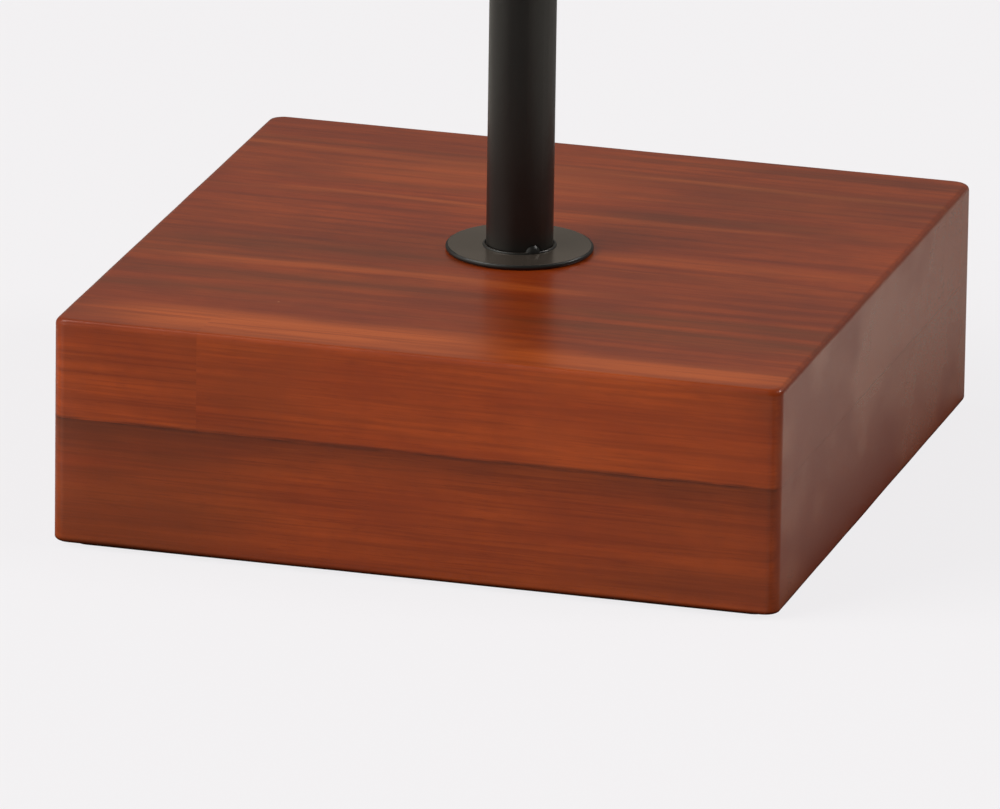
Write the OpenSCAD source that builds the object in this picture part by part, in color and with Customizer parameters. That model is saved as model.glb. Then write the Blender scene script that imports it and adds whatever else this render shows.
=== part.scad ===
// Mug tree: a block of two glued boards carries an upright steel tube with six
// screwed-in hooks in three opposed pairs, each pair turned from the one below.
// The frame stands on the felt's underside: Z is the post's axis, and -Y is the block's front.

/* [Block] */
// Side of the square block
block_w = 140; // [125:1:165]
// Thickness of the upper board
upper_board_t = 19; // [16:0.5:25]
// Thickness of the lower board
lower_board_t = 24.5; // [22:0.5:26]
// Thickness of the felt sheet under the block
felt_t = 1; // [0.8:0.1:2]
// Radius of the block's upright corners
corner_r = 2.5; // [1.5:0.5:6]
// Easing along the block's top and bottom edges
edge_ease = 0.8; // [0.4:0.1:1.2]

/* [Post] */
// Outer diameter of the steel tube
post_d = 12.7; // [12.4:0.1:13.4]
// Wall of the steel tube
post_wall = 1.2; // [1:0.1:1.4]
// Length of the steel tube
post_len = 280; // [240:5:320]
// Diameter of the plate under the tube
plate_d = 28; // [24:1:36]
// Thickness of the plate under the tube
plate_t = 1; // [0.8:0.1:2]
// Direction of the key in the tube's foot, in degrees from +X
key_turn = -50; // [-180:5:180]

/* [Arms] */
// Drop from the tube's top to the highest pair of arms
top_drop = 46; // [30:1:60]
// Drop from one pair of arms to the next
tier_step = 58; // [45:1:65]
// Turn from one pair of arms to the next, in degrees
tier_turn = 60; // [30:5:90]
// Diameter of the bent rod
arm_d = 6; // [5:0.5:7]
// Distance from the post's axis to the start of the bend
straight_reach = 48; // [35:1:60]
// Radius of the bend, to the rod's centreline
bend_r = 24; // [16:1:32]
// Angle of the bend
bend_angle = 62; // [40:1:80]
// Length of the straight tip, which the cap covers
tip_len = 15; // [10:1:25]

/* [Knob] */
// Diameter of the knob's ball
knob_d = 25; // [22:1:32]
// Diameter of the knob's collar
collar_d = 17; // [15:1:20]

/* [Hidden] */
$fn = 72;
gap = 0.05;       // running clearance between a part and the bore that it sits in
saddle_gap = 0.02; // clearance between a saddle washer and the tube

// Heights, from the surface that the tree stands on
lower_z = felt_t;
upper_z = lower_z + lower_board_t;
plate_z = upper_z + upper_board_t;
post_z = plate_z + plate_t;
post_top = post_z + post_len;

// Felt sheet
felt_inset = 3;
felt_hole_d = 26;

// M8 cap screw from below, with its washers, in the lower board's counterbore
bolt_d = 8;
bolt_len = 50;
bolt_head_d = 13;
bolt_head_h = 8;
bolt_key = 6;
bolt_key_depth = 4;
bolt_hole_d = 9;
flat_washer_d = 20;
flat_washer_t = 1.6;
spring_washer_d = 13;
spring_washer_t = 2;
spring_split = 1.4;
recess_d = 22;
recess_depth = bolt_head_h + flat_washer_t + spring_washer_t + 0.4;
recess_top = lower_z + recess_depth;
flat_washer_z = recess_top - flat_washer_t;
spring_washer_z = flat_washer_z - spring_washer_t;

// Fittings inside the tube
bore_d = post_d - 2 * post_wall;
plug_d = bore_d - 2 * gap;
plug_len = 18;
core_len = 14;
top_nut_len = 14;
tube_bevel = 0.3;
key_d = 3.4;     // domed key on the plate
notch_d = 3.6;   // notch in the tube's foot, round the key
key_sink = 0.9;  // how far the dome's centre is inside the tube's surface
foot_root = 0.3; // how far the key and the bead reach down into the plate
bead_r = 0.3;    // half-round bead on the plate, round the tube's foot

// Arm fittings
stud_d = 5;
stud_inset = 0.8;
saddle_d = 9;
saddle_rim = 0.5;
shoulder_r = post_d / 2 + 2.9;
tip_d = arm_d - 0.4; // the tip is turned down for its cap
tip_root = 1;        // how far the tip's cylinder reaches back into the bend
cap_wall = 1.3;
tiers = 3;

// Knob and its stud
collar_h = 4;
neck_d = 11;
neck_h = 1.6;
knob_stud_d = 6;
knob_stud_len = 26;

ARMS = [for (i = [0 : 2 * tiers - 1]) i];

// ---- Shared shapes ----

// A bar along +X, from x0 to x1
module bar_x(d, x0, x1) {
    translate([x0, 0, 0]) rotate([0, 90, 0]) cylinder(d = d, h = x1 - x0);
}

module ring(d_out, d_in, h) {
    difference() {
        cylinder(d = d_out, h = h);
        translate([0, 0, -1]) cylinder(d = d_in, h = h + 2);
    }
}

module rounded_square(w, r) {
    square([w, w - 2 * r], center = true);
    square([w - 2 * r, w], center = true);
    for (x = [-1, 1], y = [-1, 1]) translate([x, y] * (w / 2 - r)) circle(r = r);
}

// A long bar along X whose section is a board's, with its edges eased above or below
module eased_bar(t, ease_top, ease_bottom) {
    half = block_w / 2;
    rotate([90, 0, 90]) linear_extrude(2 * block_w, center = true) polygon([
        [-half + ease_bottom, 0],
        [half - ease_bottom, 0],
        [half, ease_bottom],
        [half, t - ease_top],
        [half - ease_top, t],
        [-half + ease_top, t],
        [-half, t - ease_top],
        [-half, ease_bottom]
    ]);
}

// A board as wide as the block, with its edges eased above or below
module board(t, ease_top = 0, ease_bottom = 0) {
    intersection() {
        linear_extrude(t) rounded_square(block_w, corner_r);
        eased_bar(t, ease_top, ease_bottom);
        rotate(90) eased_bar(t, ease_top, ease_bottom);
    }
}

// ---- Block ----

module felt_pad() {
    color([0.08, 0.075, 0.07]) difference() {
        linear_extrude(felt_t) rounded_square(block_w - 2 * felt_inset, corner_r);
        translate([0, 0, -1]) cylinder(d = felt_hole_d, h = felt_t + 2);
    }
}

module lower_board() {
    color([0.42, 0.17, 0.09]) translate([0, 0, lower_z]) difference() {
        board(lower_board_t, ease_bottom = edge_ease);
        translate([0, 0, -1]) cylinder(d = bolt_hole_d, h = lower_board_t + 2);
        translate([0, 0, -1]) cylinder(d = recess_d, h = recess_depth + 1);
    }
}

module upper_board() {
    color([0.5, 0.22, 0.12]) translate([0, 0, upper_z]) difference() {
        board(upper_board_t, ease_top = edge_ease);
        translate([0, 0, -1]) cylinder(d = bolt_hole_d, h = upper_board_t + 2);
    }
}

// ---- Screw that holds the post to the block ----

module base_bolt() {
    color("silver") {
        difference() {
            translate([0, 0, spring_washer_z - bolt_head_h]) cylinder(d = bolt_head_d, h = bolt_head_h);
            translate([0, 0, spring_washer_z - bolt_head_h - 1])
                cylinder(d = bolt_key / cos(30), h = bolt_key_depth + 1, $fn = 6);
        }
        translate([0, 0, spring_washer_z]) cylinder(d = bolt_d - 2 * gap, h = bolt_len);
    }
}

module spring_washer() {
    color("silver") translate([0, 0, spring_washer_z]) difference() {
        ring(spring_washer_d, bolt_d + 0.3, spring_washer_t);
        rotate(30) translate([0, -spring_split / 2, -1])
            cube([spring_washer_d, spring_split, spring_washer_t + 2]);
    }
}

module flat_washer() {
    color("silver") translate([0, 0, flat_washer_z]) ring(flat_washer_d, bolt_d + 0.4, flat_washer_t);
}

// ---- Post ----

// A washer with a full-round rim. A bead round the tube's foot centres it, and a key stops it turning.
module foot_plate() {
    color([0.2, 0.19, 0.18]) translate([0, 0, plate_z]) {
        difference() {
            union() {
                cylinder(d = plate_d - plate_t, h = plate_t);
                rotate_extrude() translate([(plate_d - plate_t) / 2, plate_t / 2]) circle(d = plate_t);
                translate([0, 0, plate_t]) foot_bead();
            }
            translate([0, 0, -1]) cylinder(d = bolt_d + 0.4, h = plate_t + 2);
        }
        translate([0, 0, plate_t]) rotate(key_turn) foot_key();
    }
}

module foot_bead() {
    rotate_extrude() intersection() {
        translate([post_d / 2 + gap + bead_r, 0]) circle(r = bead_r);
        translate([0, -foot_root]) square([post_d, foot_root + bead_r]);
    }
}

// A ball that is centred just inside the tube's surface, at +X
module foot_dome(d) {
    translate([post_d / 2 - key_sink, 0, 0]) sphere(d = d);
}

module foot_key() {
    intersection() {
        translate([0, 0, -foot_root]) ring(post_d + 2 * key_d, bore_d, foot_root + key_d);
        foot_dome(key_d);
    }
}

module foot_plug() {
    color("silver") translate([0, 0, post_z]) ring(plug_d, bolt_d, plug_len);
}

module post() {
    color([0.12, 0.12, 0.115]) difference() {
        translate([0, 0, post_z]) rotate_extrude() polygon([
            [bore_d / 2, 0],
            [post_d / 2 - tube_bevel, 0],
            [post_d / 2, tube_bevel],
            [post_d / 2, post_len],
            [bore_d / 2, post_len]
        ]);
        for (tier = [0 : tiers - 1]) at_tier(tier) bar_x(stud_d + 2 * gap, -post_d, post_d);
        translate([0, 0, post_z]) rotate(key_turn) foot_dome(notch_d);
    }
}

// ---- Arms ----

// Places children at the middle of a pair of arms, with +X along the pair's first arm
module at_tier(tier) {
    translate([0, 0, post_top - top_drop - (tiers - 1 - tier) * tier_step])
        rotate(tier * tier_turn) children();
}

// Places children at arm i, which points along +X. The arms of a pair are opposite.
module at_arm(i) {
    at_tier(floor(i / 2)) rotate(180 * (i % 2)) children();
}

// Places children where the bend ends, with +Z along the rod
module at_tip() {
    translate([straight_reach + bend_r * sin(bend_angle), 0, bend_r * (1 - cos(bend_angle))])
        rotate([0, 90 - bend_angle, 0]) children();
}

// A cross-tapped steel core inside the tube, which both arms of a pair screw into
module arm_core(tier) {
    color("silver") at_tier(tier) difference() {
        translate([0, 0, -core_len / 2]) cylinder(d = plug_d, h = core_len);
        bar_x(stud_d, -post_d, post_d);
    }
}

module arm(i) {
    color([0.12, 0.12, 0.115]) at_arm(i) {
        bar_x(stud_d - 2 * gap, stud_inset, shoulder_r);
        bar_x(arm_d, shoulder_r, straight_reach);
        translate([straight_reach, 0, bend_r]) rotate([90, 0, 0]) rotate([0, 0, -90])
            rotate_extrude(angle = bend_angle) translate([bend_r, 0]) circle(d = arm_d);
        at_tip() translate([0, 0, -tip_root]) cylinder(d = tip_d, h = tip_root + tip_len);
    }
}

// Its hollow face beds on the tube, and its flat face takes the arm's shoulder
module saddle_washer(i) {
    color([0.12, 0.12, 0.115]) at_arm(i) difference() {
        union() {
            bar_x(saddle_d, 1, shoulder_r - saddle_rim);
            translate([shoulder_r - saddle_rim, 0, 0]) rotate([0, 90, 0])
                cylinder(d1 = saddle_d, d2 = saddle_d - 2 * saddle_rim, h = saddle_rim);
        }
        bar_x(stud_d + 2 * gap, 0, shoulder_r + 1);
        translate([0, 0, -saddle_d]) cylinder(r = post_d / 2 + saddle_gap, h = 2 * saddle_d);
    }
}

module tip_cap(i) {
    cap_d = arm_d + 2 * cap_wall;
    color([0.06, 0.06, 0.06]) at_arm(i) at_tip() difference() {
        union() {
            cylinder(d = cap_d, h = tip_len);
            translate([0, 0, tip_len]) sphere(d = cap_d);
        }
        translate([0, 0, -1]) cylinder(d = tip_d, h = 1 + tip_len);
    }
}

// ---- Knob ----

module top_nut() {
    color("silver") translate([0, 0, post_top - top_nut_len]) ring(plug_d, knob_stud_d, top_nut_len);
}

module knob_stud() {
    color("silver") translate([0, 0, post_top - knob_stud_len / 2])
        cylinder(d = knob_stud_d - 2 * gap, h = knob_stud_len);
}

// A turned collar, a short neck and a ball
module knob() {
    ball_z = collar_h + neck_h + sqrt(pow(knob_d / 2, 2) - pow(neck_d / 2, 2));
    color([0.5, 0.22, 0.12]) translate([0, 0, post_top]) difference() {
        union() {
            cylinder(d = collar_d, h = collar_h);
            cylinder(d = neck_d, h = ball_z);
            translate([0, 0, ball_z]) sphere(d = knob_d);
        }
        translate([0, 0, -1]) cylinder(d = knob_stud_d, h = knob_stud_len / 2 + 2);
    }
}

felt_pad();
lower_board();
upper_board();
base_bolt();
spring_washer();
flat_washer();
foot_plate();
foot_plug();
post();
arm_core(0);  // arm_core_low
arm_core(1);  // arm_core_middle
arm_core(2);  // arm_core_high
for (i = ARMS) {
    arm(i);
    saddle_washer(i);
    tip_cap(i);
}
top_nut();
knob_stud();
knob();
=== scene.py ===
"""Looks of the mug tree: rounded boards, felt, fasteners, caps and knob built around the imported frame.

Everything is in metres in the frame's own axes: +Z is the post, -Y the front of the block.
"""

import math

import bpy
from mathutils import Matrix, Vector, noise


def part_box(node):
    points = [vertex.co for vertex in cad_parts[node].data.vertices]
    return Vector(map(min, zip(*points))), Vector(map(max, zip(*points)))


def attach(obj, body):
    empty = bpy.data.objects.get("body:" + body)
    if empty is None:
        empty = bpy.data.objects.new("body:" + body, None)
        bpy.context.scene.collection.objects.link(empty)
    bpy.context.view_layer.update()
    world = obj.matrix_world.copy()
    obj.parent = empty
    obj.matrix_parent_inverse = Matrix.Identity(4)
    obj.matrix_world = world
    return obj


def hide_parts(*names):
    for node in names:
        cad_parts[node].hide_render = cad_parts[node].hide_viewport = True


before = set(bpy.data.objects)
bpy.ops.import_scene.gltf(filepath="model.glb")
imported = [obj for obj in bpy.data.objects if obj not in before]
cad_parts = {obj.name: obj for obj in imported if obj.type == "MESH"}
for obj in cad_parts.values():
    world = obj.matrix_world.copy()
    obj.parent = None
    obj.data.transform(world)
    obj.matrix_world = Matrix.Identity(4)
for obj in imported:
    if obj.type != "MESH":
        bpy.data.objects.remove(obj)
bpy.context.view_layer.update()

MM = 0.001
BODY = "root"
SMOOTH_LIMIT = math.radians(32)


# ---------------------------------------------------------------- node graphs

class Graph:
    """Short calls that add nodes to a tree and return their output sockets."""

    def __init__(self, tree):
        self.tree = tree
        self.tree.nodes.clear()

    def feed(self, socket, value):
        if isinstance(value, bpy.types.NodeSocket):
            self.tree.links.new(value, socket)
        else:
            socket.default_value = value

    def add(self, kind, inputs=None, **settings):
        node = self.tree.nodes.new(kind)
        for key, value in settings.items():
            setattr(node, key, value)
        for key, value in (inputs or {}).items():
            self.feed(node.inputs[key], value)
        return node

    def math(self, operation, *values, clamp=False):
        node = self.add("ShaderNodeMath", dict(enumerate(values)), operation=operation, use_clamp=clamp)
        return node.outputs[0]

    def total(self, *values):
        result = values[0]
        for value in values[1:]:
            result = self.math("ADD", result, value)
        return result

    def product(self, *values):
        result = values[0]
        for value in values[1:]:
            result = self.math("MULTIPLY", result, value)
        return result

    def vector(self, operation, *values):
        node = self.add("ShaderNodeVectorMath", dict(enumerate(values)), operation=operation)
        return node.outputs["Value" if operation in ("LENGTH", "DISTANCE", "DOT_PRODUCT") else "Vector"]

    def scaled(self, vector, factor):
        return self.add("ShaderNodeVectorMath", {0: vector, 3: factor}, operation="SCALE").outputs[0]

    def bend(self, vector, sway, reach):
        """Shifts a vector along Y and Z by up to half of reach, as a noise's colour says."""
        centred = self.vector("SUBTRACT", sway, (0.5, 0.5, 0.5))
        return self.vector("MULTIPLY_ADD", centred, (0.0, reach, reach), vector)

    def split(self, vector):
        return self.add("ShaderNodeSeparateXYZ", {0: vector}).outputs

    def join(self, x, y, z):
        return self.add("ShaderNodeCombineXYZ", {0: x, 1: y, 2: z}).outputs[0]

    def noise(self, vector, size, detail=2.0, roughness=0.5, output="Fac"):
        """Noise whose features are about size long, in the vector's own units, along each axis."""
        scaled = self.vector("DIVIDE", vector, size)
        inputs = {"Vector": scaled, "Scale": 1.0, "Detail": detail, "Roughness": roughness}
        return self.add("ShaderNodeTexNoise", inputs).outputs[output]

    def fade(self, value, low, high, start=0.0, end=1.0):
        """A smooth step from start, where value is low, to end, where it is high."""
        inputs = {"Value": value, "From Min": low, "From Max": high, "To Min": start, "To Max": end}
        return self.add("ShaderNodeMapRange", inputs, interpolation_type="SMOOTHSTEP").outputs[0]

    def mix(self, factor, a, b, blend="MIX"):
        node = self.add("ShaderNodeMix", {0: factor, 6: a, 7: b}, data_type="RGBA", blend_type=blend)
        return node.outputs[2]

    def bump(self, height, distance, normal=None):
        inputs = {"Height": height, "Distance": distance, "Strength": 1.0}
        if normal is not None:
            inputs["Normal"] = normal
        return self.add("ShaderNodeBump", inputs).outputs[0]

    def place_mm(self):
        """The point on the piece, in millimetres in the frame's axes."""
        return self.scaled(self.add("ShaderNodeTexCoord").outputs["Object"], 1 / MM)

    def surface(self, **inputs):
        shader = self.add("ShaderNodeBsdfPrincipled", inputs)
        self.add("ShaderNodeOutputMaterial", {"Surface": shader.outputs[0]})


def new_material(name):
    material = bpy.data.materials.new(name)
    material.use_nodes = True
    return material, Graph(material.node_tree)


def rgb(red, green, blue):
    return (red, green, blue, 1.0)


# ---------------------------------------------------------------- wood

STAIN_MID = rgb(0.213, 0.0261, 0.0022)
STAIN_LIGHT = rgb(0.300, 0.0454, 0.0034)
# for pale grain, and for a painted highlight along the top's front edge
PALE_STAIN_AND_HIGHLIGHT = rgb(0.420, 0.0820, 0.0120)
# for the wood's dark figure, and for painted shade on the eased edges
DARK_STAIN_AND_SHADE = rgb(0.112, 0.0125, 0.0015)
STAIN_BROWN = rgb(0.103, 0.0204, 0.0035)
# for the glue joint, and for painted shade along the bottom edge
DEEP_STAIN_AND_SHADE = rgb(0.020, 0.0050, 0.0020)
END_GRAIN = rgb(0.157, 0.0257, 0.0035)
SPECK = rgb(0.50, 0.20, 0.09)

# Streaks along the grain: their place across it, their width, and from where to where along it, as
# shares of the block's half side, with their strength
TOP_DARK_STREAKS = (
    (0.72, 0.050, -1.1, 1.1, 0.28),
    (0.47, 0.035, -0.9, -0.2, 0.30),
    (0.41, 0.055, 0.05, 0.85, 0.62),
    (-0.18, 0.060, -0.95, -0.05, 0.62),
    (-0.45, 0.055, -1.0, 0.05, 0.60),
    (-0.48, 0.050, 0.20, 1.1, 0.80),
    (-0.60, 0.045, -1.1, -0.40, 0.75),
    (-0.61, 0.055, 0.15, 1.1, 0.90),
    (-1.00, 0.020, -0.60, -0.30, 0.35),
    (-1.00, 0.020, 0.35, 1.3, 0.50),
)
TOP_PALE_STREAKS_AND_HIGHLIGHT = (
    (0.74, 0.018, -1.1, 1.1, 0.50),
    (0.35, 0.022, -0.8, 0.7, 0.50),
    (0.02, 0.050, 0.10, 0.90, 0.35),
    (-0.32, 0.030, -0.9, 0.3, 0.50),
    (0.62, 0.160, -0.60, 0.10, 0.45),
    # these two rows are a painted highlight: a pale band along the top's front edge
    (-0.88, 0.100, -0.85, 0.15, 1.00),
    (-0.90, 0.070, 0.20, 1.05, 0.85),
)
# On the lower board these darken its front face in strands, most towards the left end
LOWER_DARK_STREAKS = (
    (-1.00, 0.300, -1.40, -0.45, 0.60),
    (-1.00, 0.300, 0.55, 1.40, 0.25),
)


# The figure, from clouds down to hair lines. Each row has a noise's size in millimetres along the
# grain and across it, its detail and roughness, and the stains it brings in: from which value of the
# noise to which, how strongly, and in what colour.
FIGURE = (
    ((46.0, 16.0, 9.0), 3.0, 0.5, ((0.34, 0.70, 0.75, STAIN_LIGHT),)),
    ((260.0, 6.0, 16.0), 3.0, 0.5, ((0.54, 0.74, 0.60, STAIN_BROWN), (0.46, 0.28, 0.55, STAIN_LIGHT))),
    ((120.0, 3.6, 2.4), 2.0, 0.5, ((0.50, 0.68, 0.34, DARK_STAIN_AND_SHADE), (0.46, 0.30, 0.30, STAIN_LIGHT))),
    ((36.0, 2.4, 0.62), 2.0, 0.6, ((0.48, 0.64, 0.38, DARK_STAIN_AND_SHADE), (0.44, 0.30, 0.36, STAIN_LIGHT))),
)
MOTTLE = ((8.0, 6.0, 5.0), 3.0, 0.6, ((0.35, 0.70, 0.22, DARK_STAIN_AND_SHADE),))
STAVE_TINT = 0.16        # how much browner the brownest stave is
STREAK_END = 0.22        # how long a streak takes to fade out, as a share of the half side
WAVE_HEIGHT = 0.10 * MM  # the lacquered surface's own slow waves
GRAIN_DEPTH = 0.010 * MM


def add_specks(graph, place, colour, cell, radius, share, tint):
    """Small round marks, one in a share of the cells of a loose grid."""
    inputs = {"Vector": graph.vector("DIVIDE", place, (cell, cell, cell)), "Scale": 1.0}
    cells = graph.add("ShaderNodeTexVoronoi", inputs)
    chosen = graph.math("LESS_THAN", graph.split(cells.outputs["Color"])[0], share)
    spot = graph.fade(cells.outputs["Distance"], radius / cell, 0.4 * radius / cell)
    return graph.mix(graph.product(chosen, spot, 0.8), colour, tint)


def add_figure(graph, place, colour, rows):
    """Lays rows such as those of FIGURE over a colour."""
    for size, detail, roughness, stains in rows:
        pattern = graph.noise(place, size, detail, roughness)
        for low, high, strength, stain in stains:
            colour = graph.mix(graph.fade(pattern, low, high, 0.0, strength), colour, stain)
    return colour


def streak_shade(graph, run, across, half, streaks):
    """How strong the named streaks are at a place, from 0 to 1."""
    shade = 0.0
    for centre, width, start, end, strength in streaks:
        away = graph.math("ABSOLUTE", graph.math("SUBTRACT", across, centre * half))
        core = graph.fade(away, 1.35 * width * half, 0.25 * width * half)
        enter = graph.fade(run, (start - STREAK_END) * half, (start + STREAK_END) * half)
        leave = graph.fade(run, (end + STREAK_END) * half, (end - STREAK_END) * half)
        shade = graph.math("MAXIMUM", shade, graph.product(core, enter, leave, strength))
    return shade


def add_streaks(graph, grain, own, colour, half, dark_streaks, pale_streaks_and_highlight):
    """Lays the named streaks over a colour, wandering a little and broken into strands."""
    run, across, _ = graph.split(grain)
    bow = graph.noise(grain, (64.0, 26.0, 60.0))
    wander = graph.total(across, graph.math("MULTIPLY_ADD", bow, 9.0, -4.5))
    broken = graph.fade(graph.noise(own, (38.0, 1.6, 6.0), 2.0, 0.6), 0.30, 0.62, 0.45, 1.0)
    # pale streaks: grain, and on the top a painted highlight along its front edge
    pale = graph.product(streak_shade(graph, run, wander, half, pale_streaks_and_highlight), broken)
    colour = graph.mix(graph.product(pale, 0.9), colour, PALE_STAIN_AND_HIGHLIGHT)
    shade = graph.product(streak_shade(graph, run, wander, half, dark_streaks), broken)
    return graph.mix(graph.product(shade, 0.85), colour, STAIN_BROWN)


def stave_chance(graph, grain, seams, butt, seed):
    """A random colour and number for each stave, as a node's outputs."""
    run, across, _ = graph.split(grain)
    stave = seed
    for seam in seams:
        stave = graph.total(graph.math("GREATER_THAN", across, seam), stave)
    if butt:
        front = graph.math("LESS_THAN", across, butt[1])
        past = graph.math("GREATER_THAN", run, butt[0])
        stave = graph.total(stave, graph.product(front, past, 7.0))
    return graph.add("ShaderNodeTexWhiteNoise", {"W": stave}, noise_dimensions="1D").outputs


def late_wood(graph, grain, own, chance, heart, ring):
    """How dark the growth rings' late wood is, from 0 to 1. The rings bend along the grain."""
    bent = graph.bend(grain, graph.noise(own, (190.0, 40.0, 40.0), output="Color"), 13.0)
    bent = graph.bend(bent, graph.noise(own, (24.0, 6.0, 6.0), output="Color"), 1.1)
    shift = graph.vector("MULTIPLY_ADD", chance["Color"], (0.0, 60.0, 30.0), (0.0, -30.0, -15.0))
    from_heart = graph.vector("SUBTRACT", graph.vector("ADD", bent, shift), (0.0, *heart))
    radius = graph.vector("LENGTH", graph.vector("MULTIPLY", from_heart, (0.0, 1.0, 1.0)))
    years = graph.math("DIVIDE", radius, ring)
    year = graph.math("FRACT", years)
    late = graph.product(graph.fade(year, 0.25, 0.80), graph.fade(year, 1.0, 0.84))
    strength = graph.fade(graph.noise(graph.join(years, 0.0, 0.0), (2.3, 1.0, 1.0)), 0.3, 0.7)
    return graph.product(late, graph.math("MULTIPLY_ADD", strength, 0.7, 0.3))


def add_glue(graph, own, colour, above, wobble, glue):
    """A dark line at the glue joint, with darker wood below it. above is the height over the joint."""
    depth = graph.math("MULTIPLY_ADD", wobble, 7.0, graph.product(above, -1.0))
    colour = graph.mix(graph.fade(depth, 12.0, 3.5, 0.0, glue), colour, DEEP_STAIN_AND_SHADE)
    patchy = graph.fade(graph.noise(own, (9.0, 7.0, 1.0), 2.0, 0.6), 0.30, 0.65, 0.10, 0.60)
    line = graph.fade(graph.math("ABSOLUTE", above), 0.75, 0.05)
    return graph.mix(graph.product(line, patchy), colour, DEEP_STAIN_AND_SHADE)


def wood_material(name, along="X", heart=(0.0, -70.0), ring=1.7, seams=(), butt=None, seed=0.0,
                  joint=None, glue=0.0, foot=None, dark_streaks=(), pale_streaks_and_highlight=(), half=70.0,
                  tint=0.0, edges=0.0):
    """Stained and lacquered wood, solid through the piece, so its ends show end grain.

    Lengths are in millimetres. heart is the tree's centre across the grain, and ring the growth
    rings' spacing. seams are the places across the grain where one stave ends and the next begins,
    and butt is (along, seam), an end joint in the stave in front of that seam. joint is the height of
    a dark glue line, and glue how dark the wood is just below it. foot is the height of the bottom
    edge, which painted shade darkens. half is half of the block's side, which the streaks are
    measured in. tint is how brown the whole piece is, and edges how much painted shade darkens the
    stain on the eased top and bottom edges.
    """
    material, graph = new_material(name)
    place = graph.place_mm()
    x, y, z = graph.split(place)
    grain = place if along == "X" else graph.join(z, x, y)
    chance = stave_chance(graph, grain, seams, butt, seed)
    own = graph.vector("MULTIPLY_ADD", chance["Color"], (260.0, 90.0, 90.0), grain)

    late = late_wood(graph, grain, own, chance, heart, ring)
    fibre = graph.noise(own, (9.0, 0.34, 0.34), 3.0, 0.6)
    pore = graph.fade(graph.noise(own, (4.5, 0.40, 0.28), 2.0, 0.6), 0.58, 0.74)
    colour = add_figure(graph, own, STAIN_MID, FIGURE)
    colour = graph.mix(graph.product(late, 0.22), colour, DARK_STAIN_AND_SHADE)
    colour = graph.mix(graph.fade(fibre, 0.40, 0.72, 0.0, 0.20), colour, DARK_STAIN_AND_SHADE)
    colour = graph.mix(graph.product(pore, 0.42), colour, DARK_STAIN_AND_SHADE)
    colour = add_figure(graph, own, colour, [MOTTLE])
    browner = graph.math("MULTIPLY_ADD", chance["Value"], STAVE_TINT, tint)
    colour = graph.mix(browner, colour, STAIN_BROWN)
    if dark_streaks:
        colour = add_streaks(graph, grain, own, colour, half, dark_streaks, pale_streaks_and_highlight)
    wobble = graph.noise(own, (30.0, 6.0, 6.0))
    if joint:
        colour = add_glue(graph, own, colour, graph.math("SUBTRACT", z, joint), wobble, glue)

    # End grain drinks the stain. Darker stain on the eased top and bottom edges is painted shade.
    # The lacquer is thin on the long ones.
    normal = graph.add("ShaderNodeNewGeometry").outputs["Normal"]
    facing = [graph.math("ABSOLUTE", part) for part in graph.split(normal)]
    end = graph.fade(facing["XYZ".index(along)], 0.55, 0.97)
    smoke = graph.noise(place, (44.0, 32.0, 22.0), 3.0, 0.55)
    smoky = graph.fade(smoke, 0.40, 0.62)
    end_colour = graph.mix(graph.product(smoky, 0.85), END_GRAIN, DARK_STAIN_AND_SHADE)
    colour = graph.mix(graph.product(end, 0.94), colour, end_colour)
    lacquer = graph.math("MULTIPLY_ADD", graph.product(end, smoky), -0.25, 1.0)
    if edges:
        # Painted shade: darker stain on the eased top and bottom edges
        tilted = graph.product(graph.fade(facing[2], 0.03, 0.35), graph.fade(facing[2], 0.999, 0.93))
        colour = graph.mix(graph.product(tilted, edges), colour, DARK_STAIN_AND_SHADE)
        long_side = graph.product(graph.fade(facing[1], 0.05, 0.35), graph.fade(facing[1], 0.98, 0.90))
        lacquer = graph.product(lacquer, graph.math("MULTIPLY_ADD", long_side, -0.60, 1.0))
    # Painted shade: the wood darkens nearly to black along its bottom edge, and its lacquer thins there
    if foot is not None:
        depth = graph.math("MULTIPLY_ADD", wobble, 1.2, graph.math("SUBTRACT", z, foot))
        painted_foot_shade = graph.fade(depth, 1.9, 0.7, 0.0, 0.9)
        colour = graph.mix(painted_foot_shade, colour, DEEP_STAIN_AND_SHADE)
        lacquer = graph.product(lacquer, graph.math("SUBTRACT", 1.0, painted_foot_shade))

    colour = add_specks(graph, place, colour, 17.0, 0.45, 0.10, SPECK)
    elsewhere = graph.vector("ADD", place, (5.0, 9.0, 3.0))
    colour = add_specks(graph, elsewhere, colour, 23.0, 0.7, 0.12, DARK_STAIN_AND_SHADE)

    relief = graph.total(graph.product(late, -0.4), graph.product(fibre, 0.3), graph.product(pore, -0.7))
    relief = graph.product(relief, graph.math("SUBTRACT", 1.0, end))
    wave = graph.noise(place, (40.0, 30.0, 22.0))
    graph.surface(**{
        "Base Color": colour,
        "Roughness": graph.math("MULTIPLY_ADD", graph.total(fibre, end, smoke), 0.10, 0.34),
        "Specular IOR Level": 0.05,
        "Coat Weight": lacquer,
        "Coat Roughness": 0.26,
        "Coat IOR": 1.5,
        "Normal": graph.bump(wave, WAVE_HEIGHT, graph.bump(relief, GRAIN_DEPTH)),
        "Coat Normal": graph.bump(wave, WAVE_HEIGHT),
    })
    return material


# ---------------------------------------------------------------- metals, vinyl and felt

POWDER_DARK = rgb(0.0014, 0.0012, 0.0011)
POWDER_LIGHT = rgb(0.0026, 0.0023, 0.0021)
DUST = rgb(0.10, 0.095, 0.085)
BRONZE = rgb(0.31, 0.25, 0.205)
ZINC_DARK = rgb(0.50, 0.51, 0.52)
ZINC_LIGHT = rgb(0.66, 0.65, 0.60)
VINYL_DARK = rgb(0.010, 0.010, 0.010)
VINYL_LIGHT = rgb(0.019, 0.018, 0.018)
FELT_DARK = rgb(0.0050, 0.0040, 0.0036)
FELT_LIGHT = rgb(0.0260, 0.0230, 0.0210)
FELT_FLEECE = rgb(0.0120, 0.0100, 0.0090)


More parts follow.
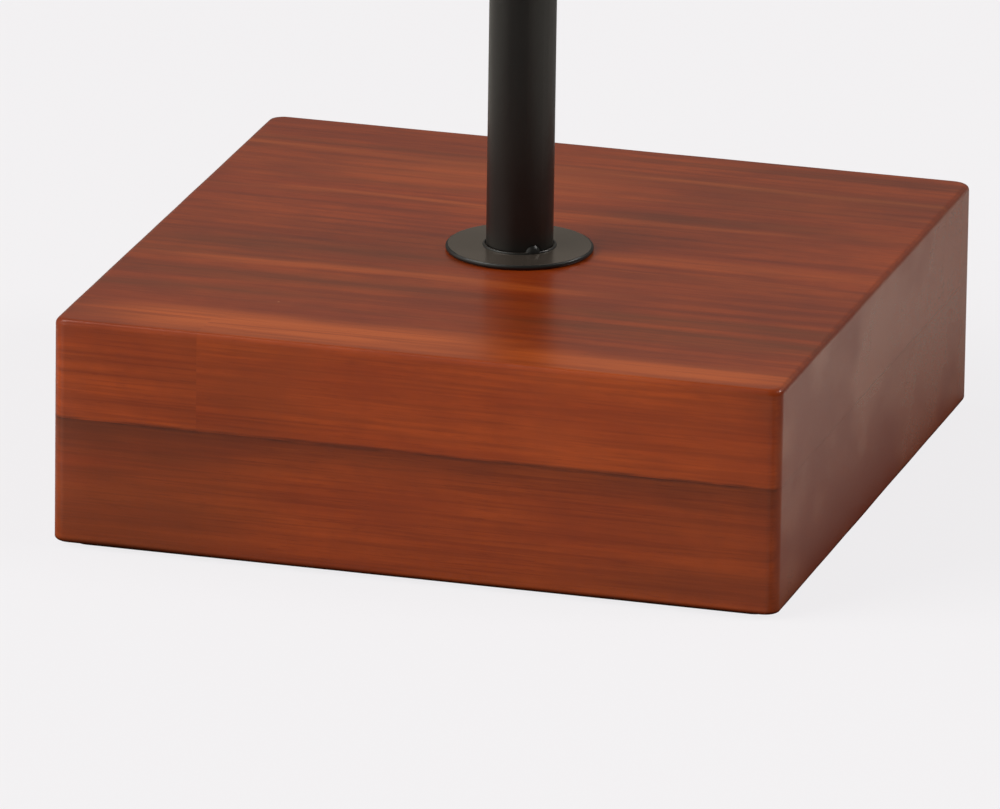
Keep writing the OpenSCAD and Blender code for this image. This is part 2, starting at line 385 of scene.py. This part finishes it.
def powder_coat(name, burnish=0.0):
    """Satin black powder coat: a fine orange peel, with dust and handling in its sheen.

    burnish is how much of the bronze under it shows on a face that lies flat.
    """
    material, graph = new_material(name)
    place = graph.place_mm()
    peel = graph.noise(place, (0.55, 0.55, 0.55), 2.0, 0.55)
    grit = graph.noise(place, (0.16, 0.16, 0.16), 1.0)
    patch = graph.noise(place, (9.0, 9.0, 14.0), 3.0, 0.6)
    colour = graph.mix(graph.fade(patch, 0.3, 0.7), POWDER_DARK, POWDER_LIGHT)
    colour = add_specks(graph, place, colour, 6.0, 0.22, 0.10, DUST)
    height = graph.total(peel, graph.product(grit, 0.35))
    metal = 0.0
    if burnish:
        level = graph.split(graph.add("ShaderNodeNewGeometry").outputs["Normal"])[2]
        metal = graph.fade(level, 0.975, 0.998, 0.0, burnish)
        colour = graph.mix(metal, colour, BRONZE)
    graph.surface(**{
        "Base Color": colour,
        "Metallic": metal,
        "Roughness": graph.total(0.30, graph.product(patch, 0.12), graph.product(metal, -0.14)),
        "Specular IOR Level": 0.5,
        "Normal": graph.bump(height, 0.008 * MM),
    })
    return material


def plated_steel():
    """Zinc plate: bright, a little cloudy, with fine turning marks round the post's axis."""
    material, graph = new_material("zinc_plated_steel")
    place = graph.place_mm()
    x, y, z = graph.split(place)
    radius = graph.vector("LENGTH", graph.join(x, y, 0.0))
    turned = graph.noise(graph.join(radius, z, 0.0), (0.12, 0.12, 1.0), 2.0, 0.6)
    cloud = graph.noise(place, (3.0, 3.0, 3.0), 3.0, 0.6)
    colour = graph.mix(graph.fade(cloud, 0.3, 0.7), ZINC_DARK, ZINC_LIGHT)
    graph.surface(**{
        "Base Color": colour,
        "Metallic": 1.0,
        "Roughness": graph.total(graph.product(cloud, 0.2), graph.product(turned, 0.12), 0.16),
        "Normal": graph.bump(turned, 0.006 * MM),
    })
    return material


def soft_vinyl():
    """Dipped vinyl: matte, slightly milky where it is stretched."""
    material, graph = new_material("matte_black_vinyl")
    place = graph.place_mm()
    skin = graph.noise(place, (0.30, 0.30, 0.30), 3.0, 0.6)
    patch = graph.noise(place, (4.0, 4.0, 6.0), 2.0, 0.5)
    colour = graph.mix(graph.fade(patch, 0.3, 0.7), VINYL_DARK, VINYL_LIGHT)
    graph.surface(**{
        "Base Color": colour,
        "Roughness": graph.math("MULTIPLY_ADD", patch, 0.14, 0.42),
        "Specular IOR Level": 0.4,
        "Sheen Weight": 0.15,
        "Sheen Roughness": 0.5,
        "Normal": graph.bump(skin, 0.018 * MM),
    })
    return material


def pressed_felt():
    """Dark pressed felt: matted fibres over a fleecy body."""
    material, graph = new_material("dark_pressed_felt")
    place = graph.place_mm()
    twist = graph.noise(place, (2.5, 2.5, 2.5), output="Color")
    swirl = graph.vector("ADD", place, graph.scaled(twist, 5.0))
    hair = graph.noise(swirl, (1.6, 0.09, 0.4), 3.0, 0.65)
    hair_across = graph.noise(swirl, (0.09, 1.4, 0.4), 3.0, 0.65)
    mat = graph.math("MAXIMUM", hair, hair_across)
    fleece = graph.noise(place, (6.0, 6.0, 1.5), 4.0, 0.6)
    colour = graph.mix(graph.fade(mat, 0.5, 0.8), FELT_DARK, FELT_LIGHT)
    colour = graph.mix(graph.fade(fleece, 0.35, 0.7, 0.0, 0.4), colour, FELT_FLEECE)
    graph.surface(**{
        "Base Color": colour,
        "Roughness": 0.95,
        "Specular IOR Level": 0.15,
        "Sheen Weight": 0.10,
        "Sheen Roughness": 0.6,
        "Normal": graph.bump(graph.total(mat, graph.product(fleece, 0.6)), 0.12 * MM),
    })
    return material


# ---------------------------------------------------------------- mesh helpers

def add_piece(name, points, faces, material, slot, *nodes):
    """Makes a piece from points in metres, gives it its material and lets it stand for CAD nodes."""
    mesh = bpy.data.meshes.new(name)
    mesh.from_pydata([tuple(point) for point in points], [], faces)
    mesh.validate()
    mesh.polygons.foreach_set("use_smooth", [True] * len(mesh.polygons))
    mesh.set_sharp_from_angle(angle=SMOOTH_LIMIT)
    mesh.materials.append(material)
    piece = bpy.data.objects.new(name, mesh)
    bpy.context.scene.collection.objects.link(piece)
    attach(piece, BODY)
    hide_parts(*nodes)
    return piece


def bridge(loops, join_last=False):
    """Points and faces of a skin over loops that all have the same number of points."""
    size = len(loops[0])
    points = [point for loop in loops for point in loop]
    pairs = [(i, i + 1) for i in range(len(loops) - 1)]
    if join_last:
        pairs.append((len(loops) - 1, 0))
    faces = []
    for low, high in pairs:
        for k in range(size):
            after = (k + 1) % size
            faces.append((low * size + k, low * size + after, high * size + after, high * size + k))
    return points, faces


def turns_of(count):
    return [math.tau * k / count for k in range(count)]


def ring_points(radius, height, count):
    """A ring round +Z. radius is a number, or a function of the angle."""
    reach = radius if callable(radius) else (lambda angle: radius)
    return [Vector((reach(t) * math.cos(t), reach(t) * math.sin(t), height)) for t in turns_of(count)]


def capped(loops, start, end):
    """Bridges loops round +Z and closes both ends with a fan to a point on the axis."""
    size = len(loops[0])
    points, faces = bridge(loops)
    first = len(points)
    last_loop = first - size
    points += [Vector((0, 0, start)), Vector((0, 0, end))]
    for k in range(size):
        after = (k + 1) % size
        faces.append((first, after, k))
        faces.append((first + 1, last_loop + k, last_loop + after))
    return points, faces


def arc(centre, radius, start, end, steps):
    """Points (r, z) on an arc of a turned profile. Angles are in degrees from +r."""
    angles = [math.radians(start + (end - start) * k / steps) for k in range(steps + 1)]
    return [(centre[0] + radius * math.cos(a), centre[1] + radius * math.sin(a)) for a in angles]


def turned_ring(profile, count):
    """Revolves a closed section, given as (r, z) points, about +Z."""
    return bridge([ring_points(r, z, count) for r, z in profile], join_last=True)


def turned_solid(profile, count):
    """Revolves an open profile about +Z. Its first and last points are on the axis."""
    loops = [ring_points(r, z, count) for r, z in profile[1:-1]]
    return capped(loops, profile[0][1], profile[-1][1])


def washer_section(inner, outer, low, high, soft):
    """A washer's section with rounded corners, anticlockwise from its lower inner corner."""
    section = []
    for (r, z), start in (
        ((inner + soft, low + soft), 180),
        ((outer - soft, low + soft), 270),
        ((outer - soft, high - soft), 0),
        ((inner + soft, high - soft), 90),
    ):
        section += arc((r, z), soft, start, start + 90, 3)
    return section


def lifted(points, height):
    return [point + Vector((0, 0, height)) for point in points]


def moved(points, matrix):
    return [matrix @ point for point in points]


# ---------------------------------------------------------------- block

CORNER_R = 2.5 * MM
TOP_R = 1.15 * MM
FOOT_R = 0.90 * MM
EDGE_R_VARIES = 0.20 * MM
EDGE_R_WANDER = 17.0 * MM
ARRIS_R = 0.02 * MM      # the boards' edges where they are glued together
CORNER_STEPS = 8
SIDE_STEPS = 26
EDGE_STEPS = 6
SUPPORT = 0.35 * MM      # a loop this far from a rounding keeps the flat's shading flat
HOLE_R = 4.5 * MM
RECESS_R = 11.0 * MM
HOLE_EASE = 0.25 * MM


def block_outline(half, corner):
    """Points round a rounded square, anticlockwise from +X, as (x, y)."""
    points = []
    straight = half - corner
    for quarter in range(4):
        turn = Matrix.Rotation(math.radians(90 * quarter), 2)
        for k in range(SIDE_STEPS):
            points.append(turn @ Vector((half, -straight + 2 * straight * k / SIDE_STEPS)))
        for k in range(CORNER_STEPS):
            angle = math.radians(90 * k / CORNER_STEPS)
            bend = Vector((math.cos(angle), math.sin(angle))) * corner
            points.append(turn @ (Vector((straight, straight)) + bend))
    return points


def eased_radius(point, edge, varies, seed):
    """The hand-sanded easing's radius at a place on the outline."""
    place = Vector((point.x / EDGE_R_WANDER, point.y / EDGE_R_WANDER, seed))
    return edge + varies * noise.noise(place)


def edge_loops(half, z, edge, varies, outward, seed):
    """Loops over one eased edge, from the flat face to the side. outward is +1 at the top, -1 below."""
    outline = block_outline(half, CORNER_R)
    angles = [math.radians(90 * k / EDGE_STEPS) for k in range(EDGE_STEPS + 1)]
    spots = [(1 - math.sin(angle), 1 - math.cos(angle), 0.0, 0.0) for angle in angles]
    spots = [(1.0, 0.0, SUPPORT, 0.0)] + spots + [(0.0, 1.0, 0.0, SUPPORT)]
    loops = []
    for share_in, share_down, more_in, more_down in spots:
        loop = []
        for point in outline:
            radius = eased_radius(point, edge, varies, seed)
            inward = share_in * radius + more_in
            scale = 1 - inward / max(abs(point.x), abs(point.y))
            height = z - outward * (share_down * radius + more_down)
            loop.append(Vector((point.x * scale, point.y * scale, height)))
        loops.append(loop)
    return loops


def hole_loop(radius, z, outline):
    """A circle whose points face the outline's, so a flat face bridges cleanly to it."""
    return [Vector((*(point.normalized() * radius), z)) for point in outline]


def hole_loops(holes, low, high, outline):
    """Loops down through a stepped hole. holes is (radius, top, bottom) from above to below."""
    loops = []
    for radius, top, bottom in holes:
        if top == high:
            loops.append(hole_loop(radius + HOLE_EASE, top, outline))
            loops.append(hole_loop(radius, top - HOLE_EASE, outline))
        else:
            loops.append(hole_loop(radius, top, outline))
        if bottom == low:
            loops.append(hole_loop(radius, bottom + HOLE_EASE, outline))
            loops.append(hole_loop(radius + HOLE_EASE, bottom, outline))
        else:
            loops.append(hole_loop(radius, bottom, outline))
    return loops


def add_board(name, node, material, top_edge, bottom_edge, seed, holes):
    """A board with eased edges, each given as (radius, variation), and a stepped hole."""
    low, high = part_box(node)
    half = (high.x - low.x) / 2
    loops = edge_loops(half, low.z, *bottom_edge, -1, seed)
    loops += list(reversed(edge_loops(half, high.z, *top_edge, 1, seed + 3)))
    loops += hole_loops(holes, low.z, high.z, block_outline(half, CORNER_R))
    return add_piece(name, *bridge(loops, join_last=True), material, "block_wood", node)


def build_block():
    low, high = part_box("lower_board")
    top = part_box("upper_board")[1]
    washer_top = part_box("flat_washer")[1].z
    half_mm = (high.x - low.x) / 2 / MM
    joint_mm = high.z / MM
    upper_wood = wood_material(
        "stained_wood_upper",
        heart=(-20.0, -46.0),
        ring=1.6,
        seams=(-0.86 * half_mm, -0.10 * half_mm, 0.52 * half_mm),
        butt=(-0.60 * half_mm, -0.86 * half_mm),
        seed=2.0,
        joint=joint_mm,
        dark_streaks=TOP_DARK_STREAKS,
        pale_streaks_and_highlight=TOP_PALE_STREAKS_AND_HIGHLIGHT,
        half=half_mm,
        edges=0.28,
    )
    lower_wood = wood_material(
        "stained_wood_lower",
        heart=(16.0, -88.0),
        ring=1.8,
        seams=(-0.30 * half_mm, 0.30 * half_mm),
        seed=23.0,
        joint=joint_mm,
        glue=0.38,
        foot=low.z / MM,
        dark_streaks=LOWER_DARK_STREAKS,
        half=half_mm,
        tint=0.16,
        edges=0.28,
    )
    eased_top = (TOP_R, EDGE_R_VARIES)
    eased_foot = (FOOT_R, EDGE_R_VARIES)
    glued = (ARRIS_R, 0.0)
    upper_holes = [(HOLE_R, top.z, high.z)]
    lower_holes = [(HOLE_R, high.z, washer_top), (RECESS_R, washer_top, low.z)]
    add_board("block_upper_board", "upper_board", upper_wood, eased_top, glued, 1.0, upper_holes)
    add_board("block_lower_board", "lower_board", lower_wood, glued, eased_foot, 2.0, lower_holes)


FELT_HOLE_R = 13.0 * MM
FELT_EDGE_VARIES = 0.22 * MM
FELT_SOFT = 0.28 * MM    # how far the felt's cut edges round off
FELT_WANDER = 9.0 * MM   # the length of the cut's slow bends, and below of its loose fibres
FELT_FRAY = 1.1 * MM


def frayed(points, seed, amount):
    """Pulls an outline in, or out for a negative amount, as scissors and loose fibres leave felt."""
    loop = []
    for point in points:
        slow = noise.noise(Vector((point.x / FELT_WANDER, point.y / FELT_WANDER, seed)))
        quick = noise.noise(Vector((point.x / FELT_FRAY, point.y / FELT_FRAY, seed)))
        pull = amount * (0.5 - 0.3 * slow - 0.2 * quick)
        loop.append(point - point.normalized() * pull)
    return loop


def spread(points, outward, height):
    """An outline moved away from the axis and lifted."""
    return [point + point.normalized() * outward + Vector((0, 0, height)) for point in points]


def build_felt(material):
    """A square of felt with soft cut edges, and a hole that the bolt is reached through."""
    low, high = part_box("felt_pad")
    side = high.x - low.x
    thick = high.z - low.z
    outline = [Vector((*point, 0)) for point in block_outline(side / 2, CORNER_R)]
    cut = frayed(outline, 5.0, FELT_EDGE_VARIES)
    hole = frayed([point.normalized() * FELT_HOLE_R for point in outline], 9.0, -FELT_EDGE_VARIES)
    rise = [(FELT_SOFT, 0.0), (0.0, FELT_SOFT), (0.0, thick - FELT_SOFT), (FELT_SOFT, thick)]
    loops = [spread(cut, -inset, low.z + height) for inset, height in rise]
    loops += [spread(hole, inset, low.z + height) for inset, height in reversed(rise)]
    felt = add_piece("felt_sheet", *bridge(loops, join_last=True), material, "felt", "felt_pad")


# ---------------------------------------------------------------- screw, washers and stud

ROUND = 72
STEPS_PER_PITCH = 6


def threaded_loops(radius, low, high, pitch, count):
    """Loops up a right-hand thread with sharp crests, run out into a chamfer at both ends."""
    depth = 0.58 * pitch
    loops = []
    steps = round((high - low) / pitch * STEPS_PER_PITCH)
    for k in range(steps + 1):
        z = low + (high - low) * k / steps
        fade = min(1.0, min(z - low, high - z) / pitch)

        def reach(angle, z=z, fade=fade):
            phase = (z / pitch - angle / math.tau) % 1.0
            return radius - depth * (1 - fade + fade * (1 - abs(2 * phase - 1)))

        loops.append(ring_points(reach, z, count))
    return loops


def hexagon_reach(flats):
    """The distance from the axis to a hexagon's edge, as a function of the angle."""
    sixth = math.tau / 6
    return lambda angle: flats / 2 / math.cos((angle + sixth / 2) % sixth - sixth / 2)


SHANK_R = 3.95 * MM
BOLT_PITCH = 1.25 * MM
BOLT_PLAIN = 14.0 * MM   # the part of the shank without a thread
SOCKET_FLATS = 6.0 * MM
SOCKET_DEPTH = 4.0 * MM
SOCKET_EASE = 0.5 * MM
DRILL_R = 2.6 * MM       # the cone that the drill left at the socket's end
DRILL_CONE = 0.7 * MM
KNURL_DEPTH = 0.18 * MM


def build_bolt(material):
    """A socket-head cap screw: knurled head with a hexagon socket underneath, threaded shank above."""
    low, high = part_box("base_bolt")
    head_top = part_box("spring_washer")[0].z
    head_r = (high.x - low.x) / 2
    plain_end = head_top + BOLT_PLAIN
    socket_end = low.z + SOCKET_DEPTH
    socket = hexagon_reach(SOCKET_FLATS)

    def knurled(angle):
        return head_r - KNURL_DEPTH * (round(angle * ROUND / math.tau) % 2)

    inside = [
        (DRILL_R * 0.6, socket_end + DRILL_CONE * 0.4),
        (DRILL_R, socket_end),
        (socket, socket_end),
        (socket, low.z + SOCKET_EASE),
    ]
    rim = [
        (SOCKET_FLATS / 2 + 0.75 * MM, low.z),
        (head_r - 1.10 * MM, low.z),
        (head_r - 0.50 * MM, low.z + 0.20 * MM),
        (head_r - 0.25 * MM, low.z + 0.60 * MM),
    ]
    head = [
        (knurled, low.z + 0.80 * MM),
        (knurled, head_top - 0.45 * MM),
        (head_r - 0.35 * MM, head_top - 0.20 * MM),
        (head_r - 0.50 * MM, head_top),
    ]
    shank = [
        (SHANK_R + 0.35 * MM, head_top),
        (SHANK_R, head_top + 0.35 * MM),
        (SHANK_R, plain_end),
    ]
    loops = [ring_points(reach, z, ROUND) for reach, z in inside + rim + head + shank]
    loops += threaded_loops(SHANK_R, plain_end + 0.2 * MM, high.z, BOLT_PITCH, ROUND)
    skin = capped(loops, socket_end + DRILL_CONE, high.z)
    add_piece("cap_screw", *skin, material, "plated_steel", "base_bolt")


FLAT_WASHER_HOLE_R = 4.2 * MM
SPRING_WASHER_HOLE_R = 4.15 * MM
SPRING_WASHER_R = 6.48 * MM
SPRING_RISE = 0.3 * MM   # how far apart the split's ends are along the axis
SPRING_GAP = 1.4 * MM
SPRING_SPLIT = math.radians(30)


def build_washers(material):
    low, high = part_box("flat_washer")
    section = washer_section(FLAT_WASHER_HOLE_R, (high.x - low.x) / 2, low.z, high.z, 0.22 * MM)
    add_piece("plain_washer", *turned_ring(section, ROUND), material, "plated_steel", "flat_washer")

    low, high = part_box("spring_washer")
    thick = high.z - low.z - SPRING_RISE
    middle_r = (SPRING_WASHER_HOLE_R + SPRING_WASHER_R) / 2
    half_gap = math.asin(SPRING_GAP / 2 / middle_r)
    section = washer_section(SPRING_WASHER_HOLE_R, SPRING_WASHER_R, 0.0, thick, 0.2 * MM)
    loops = []
    for k in range(ROUND + 1):
        angle = SPRING_SPLIT + half_gap + (math.tau - 2 * half_gap) * k / ROUND
        lift = low.z + SPRING_RISE * k / ROUND
        loops.append([Vector((r * math.cos(angle), r * math.sin(angle), z + lift)) for r, z in section])
    points, faces = bridge(loops)
    size = len(section)
    faces.append(tuple(range(size)))
    faces.append(tuple(reversed(range(len(points) - size, len(points)))))
    add_piece("split_washer", points, faces, material, "plated_steel", "spring_washer")


STUD_PITCH = 1.0 * MM


def build_stud(material):
    low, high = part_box("knob_stud")
    radius = (high.x - low.x) / 2
    loops = threaded_loops(radius, low.z, high.z, STUD_PITCH, ROUND)
    add_piece("threaded_stud", *capped(loops, low.z, high.z), material, "plated_steel", "knob_stud")


# ---------------------------------------------------------------- tip caps and knob

CAP_ROUND = 48
CAP_R = 4.3 * MM
CAP_BORE_R = 2.8 * MM
CAP_LENGTH = 15.0 * MM   # up to where the round end begins
CAP_DOME_R = CAP_R - 0.04 * MM


def cap_frame(node):
    """Where a tip cap's open end is, with +Z along the cap: its flat end faces back along the rod."""
    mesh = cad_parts[node].data
    areas = {}
    for face in mesh.polygons:
        key = tuple(round(value, 2) for value in face.normal)
        areas[key] = areas.get(key, 0.0) + face.area
    back = Vector(max(areas, key=areas.get)).normalized()
    reach = max(point.co.dot(back) for point in mesh.vertices)
    mouth = [point.co for point in mesh.vertices if point.co.dot(back) > reach - 0.02 * MM]
    low = Vector([min(point[k] for point in mouth) for k in range(3)])
    high = Vector([max(point[k] for point in mouth) for k in range(3)])
    turn = (-back).to_track_quat("Z", "Y").to_matrix().to_4x4()
    return Matrix.Translation((low + high) / 2) @ turn


def build_caps(material):
    """Dipped caps: a rolled lip, a waist just past it, a body that swells a little, and a round end."""
    lip = 0.55 * MM
    profile = [(CAP_BORE_R, CAP_LENGTH), (CAP_BORE_R, 0.35 * MM), (CAP_BORE_R + 0.25 * MM, 0.0)]
    profile += arc((CAP_R - lip, lip), lip, -90, 60, 7)
    profile += [
        (CAP_R - 0.30 * MM, 1.25 * MM),
        (CAP_R - 0.34 * MM, 2.0 * MM),
        (CAP_R - 0.22 * MM, 4.5 * MM),
        (CAP_R - 0.10 * MM, 9.0 * MM),
        (CAP_R - 0.05 * MM, 0.85 * CAP_LENGTH),
    ]
    profile += arc((0.0, CAP_LENGTH), CAP_DOME_R, 0, 84, 12)
    loops = [ring_points(r, z, CAP_ROUND) for r, z in profile]
    points, faces = capped(loops, CAP_LENGTH, CAP_LENGTH + CAP_DOME_R)
    for i in range(1, 7):
        node = f"tip_cap_{i}"
        add_piece(f"dipped_cap_{i}", moved(points, cap_frame(node)), faces, material, "cap_vinyl", node)


KNOB_ROUND = 96
COLLAR_R = 8.5 * MM
COLLAR_HEIGHT = 4.0 * MM
COLLAR_SOFT = 0.7 * MM
NECK_R = 5.5 * MM
NECK_COVE = 0.8 * MM
KNOB_BORE_R = 3.0 * MM
KNOB_BORE_TOP = 14.0 * MM
KNOB_BORE_CONE = 1.2 * MM
KNOB_BORE_EASE = 0.3 * MM


def build_knob(material):
    """A turned knob: an eased collar, a cove up to the neck, and a ball that runs into it."""
    low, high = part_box("knob")
    ball_r = (high.x - low.x) / 2
    ball_z = high.z - low.z - ball_r
    neck_angle = -math.degrees(math.acos((NECK_R + 0.25 * MM) / ball_r))
    profile = [
        (0.0, KNOB_BORE_TOP + KNOB_BORE_CONE),
        (KNOB_BORE_R, KNOB_BORE_TOP),
        (KNOB_BORE_R, KNOB_BORE_EASE),
        (KNOB_BORE_R + KNOB_BORE_EASE, 0.0),
    ]
    profile += arc((COLLAR_R - COLLAR_SOFT, COLLAR_SOFT), COLLAR_SOFT, -90, 0, 5)
    profile += arc((COLLAR_R - COLLAR_SOFT, COLLAR_HEIGHT - COLLAR_SOFT), COLLAR_SOFT, 0, 90, 5)
    profile += arc((NECK_R + NECK_COVE, COLLAR_HEIGHT + NECK_COVE), NECK_COVE, -90, -180, 5)
    profile += arc((0.0, ball_z), ball_r, neck_angle, 86, 34)
    profile.append((0.0, ball_z + ball_r))
    points, faces = turned_solid(profile, KNOB_ROUND)
    add_piece("turned_knob", lifted(points, low.z), faces, material, "knob_wood", "knob")


# ---------------------------------------------------------------- camera, floor and light

VIEW_AZIMUTH = math.radians(15.902)
VIEW_ELEVATION = math.radians(17.743)
VIEW_ROLL = math.radians(0.821)
VIEW_DISTANCE = 20.682   # in sides of the block
VIEW_TARGET = Vector((-0.0242, 0.0, 0.0957))
LENS = 551.2
SENSOR = 36.0


def direction(azimuth, elevation):
    """The unit vector towards a place round the object. Azimuth 0 is -Y, and 90 degrees +X."""
    flat = math.cos(elevation)
    return Vector((math.sin(azimuth) * flat, -math.cos(azimuth) * flat, math.sin(elevation)))


def set_camera():
    low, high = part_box("upper_board")
    side = high.x - low.x
    back = direction(VIEW_AZIMUTH, VIEW_ELEVATION)
    level = direction(VIEW_AZIMUTH + math.radians(90), 0.0)
    upright = back.cross(level)
    right = level * math.cos(VIEW_ROLL) + upright * math.sin(VIEW_ROLL)
    up = back.cross(right)
    camera = bpy.data.objects.new("camera", bpy.data.cameras.new("camera"))
    camera.data.lens = LENS
    camera.data.sensor_width = SENSOR
    camera.data.clip_start = 0.05
    camera.data.clip_end = 200.0
    turn = Matrix((right, up, back)).transposed().to_4x4()
    camera.matrix_world = Matrix.Translation((VIEW_TARGET + back * VIEW_DISTANCE) * side) @ turn
    bpy.context.scene.collection.objects.link(camera)
    bpy.context.scene.camera = camera


PALE = rgb(0.879, 0.866, 0.880)
FLOOR_SIZE = 60.0
FLOOR_HOLE = 0.132       # hidden under the felt, so that light from below reaches the underside
FLOOR_GLOW = 0.92        # how much of what the camera sees of the floor is even, without shadow
FLOOR_SHADE = (rgb(0.32, 0.30, 0.29), rgb(0.36, 0.34, 0.33))       # what it sends back to the object
FLOOR_GLOSS = (rgb(0.26, 0.255, 0.245), rgb(0.74, 0.71, 0.66))     # what gloss sees: in front, beside
PAINTED_SHADE_UNDER_BLOCK = rgb(0.02, 0.02, 0.02)
ROOM_LIGHT = rgb(1.0, 0.98, 0.90)
LAMP_LIGHT = (1.0, 0.98, 0.95)
GLOW_FROM = (-65, 30)    # the azimuth and elevation of the room's pale side
AIM_HEIGHT = 0.08


def add_floor():
    """A wide pale floor, clear from below. It is greyer in the object's gloss and shade."""
    material, graph = new_material("pale_floor")
    rays = graph.add("ShaderNodeLightPath").outputs
    place = graph.place_mm()
    grain = graph.noise(place, (400.0, 400.0, 400.0), 2.0)
    dim = graph.mix(grain, *FLOOR_SHADE)
    side = graph.math("ABSOLUTE", graph.split(graph.vector("NORMALIZE", place))[0])
    x, y, _ = graph.split(graph.vector("ABSOLUTE", place))
    # Painted light in the floor as gloss sees it: a pool beside the block, brighter to its sides than in
    # front
    near = graph.product(graph.fade(x, 66.0, 102.0), graph.fade(x, 150.0, 260.0, 1.0, 0.55))
    painted_light_pool = graph.product(graph.fade(side, 0.40, 0.95), near)
    gloss = graph.mix(painted_light_pool, *FLOOR_GLOSS)
    # Painted shade in the floor as gloss sees it: dark under the block and just round it
    clear = graph.fade(graph.math("MAXIMUM", x, y), 69.0, 76.0)
    mirrored = graph.mix(rays["Is Glossy Ray"], dim, graph.mix(clear, PAINTED_SHADE_UNDER_BLOCK, gloss))
    matte = graph.add("ShaderNodeBsdfDiffuse", {"Color": graph.mix(rays["Is Camera Ray"], mirrored, PALE)})
    glow = graph.add("ShaderNodeEmission", {"Color": PALE, "Strength": rays["Is Camera Ray"]})
    share = graph.product(rays["Is Camera Ray"], FLOOR_GLOW)
    both = graph.add("ShaderNodeMixShader", {0: share, 1: matte.outputs[0], 2: glow.outputs[0]})
    below = graph.add("ShaderNodeNewGeometry").outputs["Backfacing"]
    glass = graph.add("ShaderNodeBsdfTransparent")
    floor_shader = graph.add("ShaderNodeMixShader", {0: below, 1: both.outputs[0], 2: glass.outputs[0]})
    graph.add("ShaderNodeOutputMaterial", {"Surface": floor_shader.outputs[0]})
    corners = [Vector((x, y, 0)) for x, y in ((-1, -1), (1, -1), (1, 1), (-1, 1))]
    points, faces = bridge([[point * reach / 2 for point in corners] for reach in (FLOOR_SIZE, FLOOR_HOLE)])
    mesh = bpy.data.meshes.new("floor")
    mesh.from_pydata(points, [], faces)
    mesh.materials.append(material)
    floor = bpy.data.objects.new("floor", mesh)
    bpy.context.scene.collection.objects.link(floor)


def set_world():
    """A soft, even room that the camera sees as pale as the floor."""
    world = bpy.data.worlds.new("studio")
    world.use_nodes = True
    bpy.context.scene.world = world
    graph = Graph(world.node_tree)
    toward = graph.add("ShaderNodeTexCoord").outputs["Generated"]
    z = graph.split(toward)[2]
    left = graph.vector("DOT_PRODUCT", toward, direction(*map(math.radians, GLOW_FROM)))
    glow = graph.fade(left, 0.55, 0.92, 0.0, 0.85)
    above = graph.fade(z, 0.1, 0.8, 0.165, 0.20)
    below = graph.fade(z, -0.05, -0.4, 0.0, 0.7)
    level = graph.total(above, glow, below)
    seen = graph.add("ShaderNodeLightPath").outputs["Is Camera Ray"]
    strength = graph.total(seen, graph.product(graph.math("SUBTRACT", 1.0, seen), level))
    colour = graph.mix(seen, ROOM_LIGHT, PALE)
    background = graph.add("ShaderNodeBackground", {"Color": colour, "Strength": strength})
    graph.add("ShaderNodeOutputWorld", {"Surface": background.outputs[0]})


def add_softbox(name, azimuth, elevation, distance, size, power, glint=False):
    """A rectangular area light that faces the block, placed by its direction in degrees.

    A glint only shows in gloss, and the others do not: the room's own pale side does that, softly.
    """
    data = bpy.data.lights.new(name, "AREA")
    data.shape = "RECTANGLE"
    data.size, data.size_y = size
    data.energy = power
    data.color = LAMP_LIGHT
    light = bpy.data.objects.new(name, data)
    light.visible_glossy = glint
    light.visible_diffuse = not glint
    away = direction(math.radians(azimuth), math.radians(elevation))
    aim = Vector((0, 0, AIM_HEIGHT))
    turn = away.to_track_quat("Z", "Y").to_matrix().to_4x4()
    light.matrix_world = Matrix.Translation(aim + away * distance) @ turn
    bpy.context.scene.collection.objects.link(light)


def light_studio():
    set_world()
    add_softbox("left_softbox", -50, 26, 3.4, (2.8, 1.8), 150.0)
    add_softbox("right_softbox", 95, 32, 2.2, (0.9, 0.9), 33.0)
    add_softbox("left_glint", -100, 58, 2.2, (0.8, 0.8), 16.0, glint=True)
    add_softbox("right_glint", 132, 42, 2.2, (0.3, 0.3), 12.0, glint=True)
    bpy.context.scene.view_settings.view_transform = "Standard"


# ---------------------------------------------------------------- the object

def paint(nodes, material):
    """Gives CAD nodes whose shape is right a better material."""
    for name in nodes:
        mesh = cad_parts[name].data
        mesh.materials.clear()
        mesh.materials.append(material)


set_camera()
add_floor()
light_studio()

black = powder_coat("satin_black_powder_coat")
burnished = powder_coat("burnished_powder_coat", burnish=0.9)
steel = plated_steel()

build_block()
build_felt(pressed_felt())
build_bolt(steel)
build_washers(steel)
build_stud(steel)
build_caps(soft_vinyl())
build_knob(wood_material("stained_wood_knob", along="Z", heart=(9.0, 6.0), ring=1.5, seed=41.0, tint=0.05))
paint(["post"], black)
paint(["foot_plate"], burnished)
paint([f"arm_{i}" for i in range(1, 7)], black)
paint([f"saddle_washer_{i}" for i in range(1, 7)], black)
paint(["foot_plug", "arm_core_low", "arm_core_middle", "arm_core_high", "top_nut"], steel)
